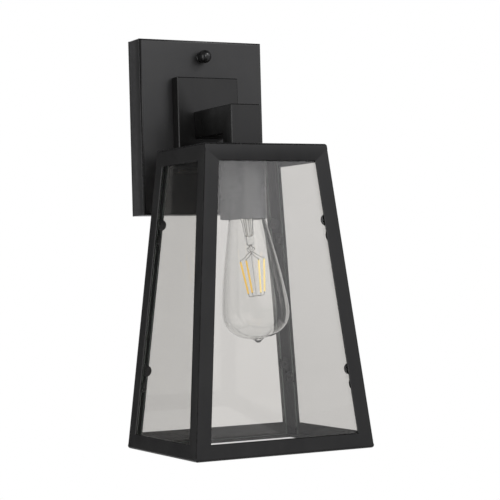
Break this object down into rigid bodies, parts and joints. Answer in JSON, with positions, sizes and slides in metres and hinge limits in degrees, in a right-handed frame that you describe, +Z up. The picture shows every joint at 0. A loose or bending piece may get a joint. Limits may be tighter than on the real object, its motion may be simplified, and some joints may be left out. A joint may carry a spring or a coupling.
{
  "type": "outdoor wall lantern",
  "caption": "Black outdoor wall lantern: rectangular backplate, L-shaped box arm and a tapered angle-iron cage with clear panes, an open bottom and a pear-shaped filament bulb.",
  "frame": {"origin": "on the wall, at the centre of the backplate", "axes": "+Y into the wall, so the lantern stands out along -Y; +Z up; +X to the right seen from in front"},
  "size_m": [0.1784, 0.1788, 0.386],
  "materials": {
    "wall_gasket": "closed-cell foam",
    "mounting_bar": "zinc-plated, dull",
    "mounting_studs": "zinc-plated, dull",
    "stud_locknuts": "zinc-plated, dull",
    "ground_screw": "green",
    "backplate": "fine-textured satin powder coat",
    "mount_pad": "fine-textured satin powder coat",
    "pad_screws": "zinc-plated, dull",
    "arm": "fine-textured satin powder coat",
    "arm_nipple": "zinc-plated, dull",
    "arm_nipple_washer": "zinc-plated, dull",
    "arm_nipple_nut": "zinc-plated, dull",
    "cap_washer_top": "fine-textured satin powder coat",
    "cap_washer_bottom": "fine-textured satin powder coat",
    "cap_nut_top": "fine-textured satin powder coat",
    "cap_nut_bottom": "fine-textured satin powder coat",
    "roof_plate": "fine-textured satin powder coat",
    "top_rail_front": "fine-textured satin powder coat",
    "top_rail_back": "fine-textured satin powder coat",
    "top_rail_left": "fine-textured satin powder coat",
    "top_rail_right": "fine-textured satin powder coat",
    "post_front_left": "fine-textured satin powder coat",
    "post_front_right": "fine-textured satin powder coat",
    "post_back_left": "fine-textured satin powder coat",
    "post_back_right": "fine-textured satin powder coat",
    "bottom_rail_front": "fine-textured satin powder coat",
    "bottom_rail_back": "fine-textured satin powder coat",
    "bottom_rail_left": "fine-textured satin powder coat",
    "bottom_rail_right": "fine-textured satin powder coat",
    "glass_front": "clear float glass",
    "glass_back": "clear float glass",
    "glass_left": "clear float glass",
    "glass_right": "clear float glass",
    "pane_studs": "zinc-plated, dull",
    "pane_nuts": "fine-textured satin powder coat",
    "drop_nipple": "zinc-plated, dull",
    "drop_nipple_washer": "zinc-plated, dull",
    "drop_nipple_nut": "zinc-plated, dull",
    "socket_cover": "fine-textured satin powder coat",
    "holder_plate": "zinc-plated, dull",
    "holder_nut": "zinc-plated, dull",
    "lamp_holder": "moulded",
    "holder_shell": "bare",
    "holder_contact": "bare",
    "live_lead": "insulated wire",
    "neutral_lead": "insulated wire",
    "earth_lead": "insulated wire",
    "wire_connectors": "moulded",
    "bulb_contact": "zinc-plated, dull",
    "bulb_insulator": "black glass insulator",
    "bulb_cap": "nickel-plated",
    "bulb_glass": "clear blown glass",
    "bulb_stem": "clear blown glass",
    "bulb_wires": "zinc-plated, dull",
    "bulb_filaments": "yellow phosphor"
  },
  "bodies": {
    "lantern": {"wall_gasket": "wall_gasket", "mounting_bar": "mounting_bar", "mounting_studs": "mounting_studs", "stud_locknuts": "stud_locknuts", "ground_screw": "ground_screw", "backplate": "backplate", "mount_pad": "mount_pad", "pad_screws": "pad_screws", "arm": "arm", "arm_nipple": "arm_nipple", "arm_nipple_washer": "arm_nipple_washer", "arm_nipple_nut": "arm_nipple_nut", "roof_plate": "roof_plate", "top_rail_front": "top_rail_front", "top_rail_back": "top_rail_back", "top_rail_left": "top_rail_left", "top_rail_right": "top_rail_right", "post_front_left": "post_front_left", "post_front_right": "post_front_right", "post_back_left": "post_back_left", "post_back_right": "post_back_right", "bottom_rail_front": "bottom_rail_front", "bottom_rail_back": "bottom_rail_back", "bottom_rail_left": "bottom_rail_left", "bottom_rail_right": "bottom_rail_right", "glass_front": "glass_front", "glass_back": "glass_back", "glass_left": "glass_left", "glass_right": "glass_right", "pane_studs": "pane_studs", "pane_nuts": "pane_nuts", "drop_nipple": "drop_nipple", "drop_nipple_washer": "drop_nipple_washer", "drop_nipple_nut": "drop_nipple_nut", "socket_cover": "socket_cover", "holder_plate": "holder_plate", "holder_nut": "holder_nut", "lamp_holder": "lamp_holder", "holder_shell": "holder_shell", "holder_contact": "holder_contact", "live_lead": "live_lead", "neutral_lead": "neutral_lead", "earth_lead": "earth_lead", "wire_connectors": "wire_connectors"},
    "cap_washer_top": {"cap_washer_top": "cap_washer_top"},
    "cap_nut_top": {"cap_nut_top": "cap_nut_top"},
    "cap_washer_bottom": {"cap_washer_bottom": "cap_washer_bottom"},
    "cap_nut_bottom": {"cap_nut_bottom": "cap_nut_bottom"},
    "bulb_contact": {"bulb_contact": "bulb_contact"},
    "bulb": {"bulb_insulator": "bulb_insulator", "bulb_cap": "bulb_cap", "bulb_glass": "bulb_glass", "bulb_stem": "bulb_stem", "bulb_wires": "bulb_wires", "bulb_filaments": "bulb_filaments"}
  },
  "joints": [
    {"name": "bulb_slide", "type": "slide", "parent": "lantern", "child": "bulb_contact", "axis": [0.0785, 0, -0.9969], "range_m": [0, 0.0182]},
    {"name": "bulb_turn", "type": "hinge", "parent": "bulb_contact", "child": "bulb", "pos_m": [0, -0.105, -0.05], "axis": [0.0785, 0, -0.9969], "range_deg": [0, 1800]},
    {"name": "cap_nut_top_slide", "type": "slide", "parent": "lantern", "child": "cap_washer_top", "axis": [0, -1, 0], "range_m": [0, 0.008]},
    {"name": "cap_nut_top_turn", "type": "hinge", "parent": "cap_washer_top", "child": "cap_nut_top", "pos_m": [0, -0.03, 0.068], "axis": [0, -1, 0], "range_deg": [0, 3610]},
    {"name": "cap_nut_bottom_slide", "type": "slide", "parent": "lantern", "child": "cap_washer_bottom", "axis": [0, -1, 0], "range_m": [0, 0.008]},
    {"name": "cap_nut_bottom_turn", "type": "hinge", "parent": "cap_washer_bottom", "child": "cap_nut_bottom", "pos_m": [0, -0.03, -0.068], "axis": [0, -1, 0], "range_deg": [0, 3610]}
  ],
  "couplings": [
    {"joint": "bulb_slide", "follows": "bulb_turn", "m_per_rad": 0.00057773},
    {"joint": "cap_nut_top_turn", "follows": "cap_nut_top_slide", "rad_per_m": 7854},
    {"joint": "cap_nut_bottom_turn", "follows": "cap_nut_bottom_slide", "rad_per_m": 7854}
  ]
}
